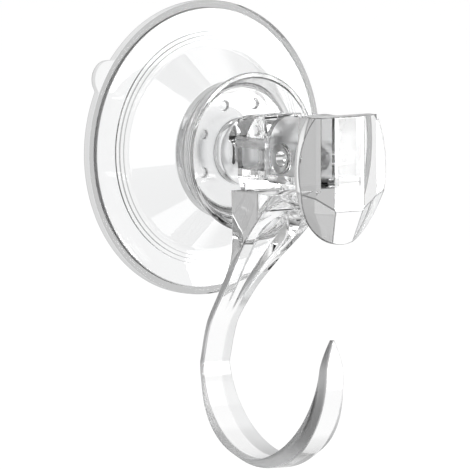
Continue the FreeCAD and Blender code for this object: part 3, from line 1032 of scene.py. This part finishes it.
    def build(self, material: Material, inside: Material, sides: Material) -> Object:
        """Build the hook in one piece from its bar, sleeve, foot and neck, less the stud's bore.

        Args:
            material: Finish of the hook.
            inside: Finish of the bore.
            sides: Finish of the bar's lower sides, grey and rough: painted shade.

        Returns:
            The piece.
        """
        root = self.neck_thickness / 2
        neck_front = self.neck_back + self.neck_thickness
        neck = np.array([
            [self.neck_back, -self.sleeve_bottom + root], [neck_front, -self.sleeve_bottom + root],
            [neck_front, self.block_top - root],
            [self.block_back + root / 2, self.block_top - root],
            [self.block_back, self.block_top], [self.neck_back, -self.sleeve_bottom]])
        foot = np.array([[self.pad_front, -self.sleeve_bottom],
                         [self.sleeve_front, -self.sleeve_bottom],
                         [self.sleeve_front, -self.stud.half_height],
                         [self.pad_front, -self.stud.half_height]])
        body = self.bar()
        for part in (self.plate("sleeve", self.sleeve_outline(), self.half_width, self.sleeve_edge),
                     self.plate("neck", neck, self.half_width - self.neck_inset, 0.0),
                     self.plate("sleeve_foot", foot, self.foot_half_width, self.foot_edge)):
            combine(body, part, "UNION")
        combine(body, self.bore_cutter(), "DIFFERENCE")
        body.name = "hook_body"
        dressed(body, material, Slot.HARD, "hook")
        wide, tall = self.stud.half_width + self.bore_band, self.stud.half_height + self.bore_band
        finish_faces(body, inside, in_box(body, (-wide, self.sleeve_back + self.end_band, -tall),
                                          (wide, self.sleeve_front - self.end_band, tall)))
        # The bar's lower sides take the grey finish: painted shade.
        sideways = np.abs(face_rows(body, "normal")[:, 0]) > self.sides_least
        below = face_rows(body, "center")[:, 2] < self.sides_top * MM
        finish_faces(body, sides, sideways & below)
        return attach(body, Body.HOUSING.value)

    def bore_cutter(self) -> Object:
        """Prism that cuts the hole in which the stud slides."""
        angle = circle(self.bore_segments)
        count = len(angle)
        reach = self.stud.bore(angle, self.bore_clearance)
        ends = [np.stack([reach * np.cos(angle), np.full_like(angle, -height),
                          reach * np.sin(angle)], -1) for height in self.bore_cut]
        faces = grid_faces(2, count, False)
        faces += [list(range(count)), list(range(2 * count - 1, count - 1, -1))]
        return fill_mesh("bore_cutter", np.concatenate(ends), faces, Shade.SMOOTH)


def ease_edges(obj: Object, width: float, angle: float, segments: int = 3,
               beyond: float = -math.inf) -> None:
    """Bevel the edges of a mesh whose faces meet at more than an angle.

    Args:
        obj: Mesh object.
        width: Width of the bevel in millimetres; 0 leaves the edges sharp.
        angle: Least angle in degrees.
        segments: Faces across a bevel.
        beyond: Height in millimetres above which both ends of an edge have to lie.
    """
    if width <= 0:
        return
    work = bmesh.new()
    work.from_mesh(obj.data)
    least = math.radians(angle)
    mark = work.faces.layers.int.get("eased") or work.faces.layers.int.new("eased")
    edges = [e for e in work.edges if len(e.link_faces) == 2 and e.calc_face_angle(0) > least
             and min(-v.co.y for v in e.verts) > beyond * MM]
    made = bmesh.ops.bevel(work, geom=edges, offset=width * MM, offset_type="OFFSET",
                           segments=segments, profile=0.5, affect="EDGES", clamp_overlap=True)
    for face in made["faces"]:
        face[mark] = 1
    work.to_mesh(obj.data)
    work.free()
    obj.data.update()


def combine(obj: Object, other: Object, how: str) -> None:
    """Join another closed mesh to a mesh, or cut it away, and remove it.

    Args:
        obj: Mesh that is changed.
        other: Mesh that is used up.
        how: UNION or DIFFERENCE.
    """
    change = obj.modifiers.new("change", "BOOLEAN")
    change.operation = how
    change.solver = "EXACT"
    change.object = other
    graph = bpy.context.evaluated_depsgraph_get()
    made = bpy.data.meshes.new_from_object(obj.evaluated_get(graph))
    obj.modifiers.clear()
    old, obj.data = obj.data, made
    bpy.data.meshes.remove(old)
    bpy.data.objects.remove(other)


@dataclass
class CamLever:
    """Cam lever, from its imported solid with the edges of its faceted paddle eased."""

    edge: float = 0.16
    least_angle: float = 8.0
    paddle_back: float = 37.5
    smallest: float = 0.05
    flat_angle: float = 0.2
    slot_low: tuple[float, float, float] = (-2.6, 27.0, -3.8)
    slot_high: tuple[float, float, float] = (2.6, 37.1, 8.6)

    def build(self, material: Material, inside: Material, rim: Material) -> Object:
        """Merge a copy of the lever's mesh, join its flat faces and ease the paddle's edges.

        Args:
            material: Finish of the lever.
            inside: Finish of its slot.
            rim: Finish of its eased edges, dark grey: painted shade drawing their outlines.

        Returns:
            The piece.
        """
        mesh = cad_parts["lever"].data.copy()
        mesh.name = "lever_body"
        if "custom_normal" in mesh.attributes:
            mesh.attributes.remove(mesh.attributes["custom_normal"])
        work = bmesh.new()
        work.from_mesh(mesh)
        bmesh.ops.remove_doubles(work, verts=work.verts, dist=self.smallest * MM)
        bmesh.ops.dissolve_limit(work, angle_limit=math.radians(self.flat_angle), verts=work.verts,
                                 edges=work.edges, use_dissolve_boundaries=False)
        bmesh.ops.recalc_face_normals(work, faces=work.faces)
        work.to_mesh(mesh)
        work.free()
        mesh.polygons.foreach_set("use_smooth", [False] * len(mesh.polygons))
        obj = placed("lever_body", mesh)
        ease_edges(obj, self.edge, self.least_angle, 2, self.paddle_back)
        dressed(obj, material, Slot.HARD, "lever")
        finish_faces(obj, inside, in_box(obj, self.slot_low, self.slot_high))
        # The eased edges take the dark grey finish: painted shade for their outlines.
        marks = np.zeros(len(mesh.polygons), np.int32)
        mesh.attributes["eased"].data.foreach_get("value", marks)
        finish_faces(obj, rim, marks == 1)
        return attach(obj, Body.HANDLE.value)


@dataclass
class Studio:
    """Floor, world, lamps and camera."""

    view_azimuth: float = -38.8
    view_elevation: float = 4.8
    scale: float = 4.917
    image_side: int = 470
    origin_pixel: tuple[float, float] = (198.5, 146.6)
    distance: float = 2.0
    floor_drop: float = 0.078
    floor_glow: float = 0.72
    floor_share: float = 0.4
    floor_white: float = 0.9
    floor_side: float = 20.0
    ambient: float = 0.85
    ahead_level: float = 1.18
    right_band: tuple[float, float, float] = (0.07, 0.22, 0.46)
    left_band: tuple[float, float, float] = (-0.5, -0.85, 0.45)
    upper_band: tuple[float, float, float] = (0.35, 0.7, 0.45)
    lower_band: tuple[float, float, float] = (-0.25, -0.6, 0.45)
    front_level: float = 3.5
    front_band: tuple[float, float] = (0.05, -0.15)
    flag_border: float = 0.01
    flags: tuple[tuple[float, float, float, float], ...] = (
        (-1.1, 0.3, 0.731, 0.909), (-1.1, 0.3, -0.851, -0.296), (-0.12, 0.3, -0.296, 0.6),
        (0.82, 1.1, -0.6, 0.6))
    softboxes: tuple[tuple[float, float, float, float], ...] = (
        (51.2, -4.8, 13.0, 18.0), (11.8, -4.8, 6.0, 10.0))
    lamp_rows: tuple[tuple[str, tuple[float, float, float], float, float], ...] = (
        ("key_lamp", (-0.5, -0.6, 0.7), 0.6, 3.0),
        ("fill_lamp", (0.7, -0.5, 0.3), 0.5, 1.2),
    )

    def directions(self) -> tuple[Vector, Vector, Vector]:
        """Forward, right and up of the camera."""
        azimuth, elevation = math.radians(self.view_azimuth), math.radians(self.view_elevation)
        forward = Vector((-math.sin(azimuth) * math.cos(elevation),
                          math.cos(azimuth) * math.cos(elevation), -math.sin(elevation)))
        right = forward.cross(Vector((0, 0, 1))).normalized()
        return forward, right, right.cross(forward)

    def camera(self) -> None:
        """Set the camera so that the origin falls on its pixel at the photograph's scale."""
        forward, right, up = self.directions()
        across = (self.image_side / 2 - self.origin_pixel[0]) / self.scale * MM
        above = (self.image_side / 2 - self.origin_pixel[1]) / self.scale * MM
        target = right * across - up * above
        data = bpy.data.cameras.new("camera")
        data.type = "ORTHO"
        data.ortho_scale = self.image_side / self.scale * MM
        data.clip_start, data.clip_end = 0.1, 100.0
        obj = placed("camera", data)
        turn = Matrix((right, up, -forward)).transposed()
        obj.matrix_world = Matrix.Translation(target - forward * self.distance) @ turn.to_4x4()
        bpy.context.scene.camera = obj

    def world(self) -> None:
        """White where the camera looks, even for soft light, and shaped for clear plastic."""
        world = bpy.data.worlds.new("studio")
        bpy.context.scene.world = world
        world.use_nodes = True
        world.node_tree.nodes.clear()
        wires = Wires(world.node_tree)
        direction = wires.place("Generated")
        camera, glossy, bent = (wires.ray(f"Is {kind} Ray")
                                for kind in ("Camera", "Glossy", "Transmission"))
        rest = wires.math("SUBTRACT", 1.0, wires.math("MAXIMUM", camera, glossy))
        mirrored = wires.math("MULTIPLY", glossy, wires.math("SUBTRACT", 1.0, bent))
        total = wires.math("MULTIPLY_ADD", rest, self.ambient, camera)
        total = wires.math("MULTIPLY_ADD", bent, self.seen_through(wires, direction), total)
        total = wires.math("MULTIPLY_ADD", mirrored, self.mirrored(wires, direction), total)
        back = wires.add("Background", {"Strength": total})
        wires.add("OutputWorld", {0: back.outputs[0]})

    def seen_through(self, wires: Wires, direction: Socket) -> Socket:
        """Brightness of what bent rays reach: white ahead, greyer to the sides and above.

        Args:
            wires: Node helper of the world.
            direction: The ray's direction.

        Returns:
            The brightness.
        """
        _, right, _ = self.directions()
        aside = wires.along(direction, tuple(right))
        level = wires.along(direction, (0.0, 0.0, 1.0))
        total = self.ahead_level
        for value, (start, stop, loss) in (
            (aside, self.right_band), (aside, self.left_band),
            (level, self.upper_band), (level, self.lower_band),
        ):
            kept = wires.math("MULTIPLY_ADD", wires.rise(value, start, stop), -loss, 1.0)
            total = wires.math("MULTIPLY", total, kept)
        return total

    def mirrored(self, wires: Wires, direction: Socket) -> Socket:
        """Brightness of what polished faces mirror.

        A bright tent in front is crossed by dark flags, and softboxes stand at the right.

        Args:
            wires: Node helper of the world.
            direction: The ray's direction.

        Returns:
            The brightness.
        """
        level = wires.along(direction, (0.0, 0.0, 1.0))
        front = wires.rise(wires.along(direction, (0.0, 1.0, 0.0)), *self.front_band)
        tent = self.front_level
        across = wires.along(direction, (1.0, 0.0, 0.0))
        for left, right, low, high in self.flags:
            shade = wires.math("MULTIPLY", wires.between(across, left, right, self.flag_border),
                               wires.between(level, low, high, self.flag_border))
            tent = wires.math("MULTIPLY", tent, wires.math("SUBTRACT", 1.0, shade))
        total = wires.math("MULTIPLY_ADD", front, wires.math("SUBTRACT", tent, 1.0), 1.0)
        for azimuth, elevation, half, strength in self.softboxes:
            turn, lift = math.radians(azimuth), math.radians(elevation)
            towards = (math.cos(turn) * math.cos(lift), -math.sin(turn) * math.cos(lift),
                       math.sin(lift))
            shown = wires.rise(wires.along(direction, towards),
                               math.cos(math.radians(half + 1)), math.cos(math.radians(half)))
            total = wires.math("MULTIPLY_ADD", shown, strength, total)
        return total

    def floor(self) -> None:
        """A wide pale floor below the hook that shows white and keeps the shadow.

        Mirrored and bent rays pass through it to the surround.
        """
        material = bpy.data.materials.new("floor_white")
        material.use_nodes = True
        material.node_tree.nodes.clear()
        wires = Wires(material.node_tree)
        diffuse, pale = (wires.add("BsdfDiffuse", {"Color": (share, share, share, 1)})
                         for share in (self.floor_white, self.floor_share))
        glow = wires.add("Emission", {"Strength": self.floor_glow})
        both = wires.add("AddShader", {0: pale.outputs[0], 1: glow.outputs[0]})
        clear = wires.add("BsdfTransparent", {})
        last = diffuse.outputs[0]
        for kind, shader in (("Is Camera Ray", both), ("Is Glossy Ray", clear)):
            last = wires.add("MixShader", {0: wires.ray(kind), 1: last,
                                           2: shader.outputs[0]}).outputs[0]
        wires.add("OutputMaterial", {0: last})
        mesh = bpy.data.meshes.new("floor")
        side, z = self.floor_side, -self.floor_drop
        mesh.from_pydata([(-side, -side, z), (side, -side, z), (side, side, z), (-side, side, z)],
                         [], [(0, 1, 2, 3)])
        mesh.materials.append(material)
        obj = placed("floor", mesh)

    def lamps(self) -> None:
        """Soft lamps: a wide key from the upper left front and a weaker fill from the right."""
        for name, place, size, power in self.lamp_rows:
            data = bpy.data.lights.new(name, "AREA")
            data.shape, data.size, data.energy = "DISK", size, power
            obj = placed(name, data)
            obj.location = place
            obj.rotation_mode = "QUATERNION"
            obj.rotation_quaternion = (-Vector(place)).to_track_quat("-Z", "Y")

    def build(self) -> None:
        """Set up the whole studio."""
        self.camera()
        self.world()
        self.floor()
        self.lamps()
        bpy.context.scene.view_settings.view_transform = "Standard"


def main() -> None:
    """Build the studio and every piece."""
    logging.basicConfig(level=logging.INFO, format="%(name)s %(message)s")
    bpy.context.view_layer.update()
    hard, matt = HARD_CLEAR.build(), HARD_MATT.build()
    Studio().build()
    stud = StudBar()
    stud.build(HARD_CORE.build())
    PivotPin().build(hard)
    SuctionCup(stud).build(SOFT_CLEAR.build())
    Cover(stud).build(hard, matt, HARD_RIM.build())
    Hook(stud).build(hard, matt, HARD_SIDE_SHADE.build())
    CamLever().build(hard, matt, HARD_EDGE_SHADE.build())


if __name__ == "__main__":
    main()
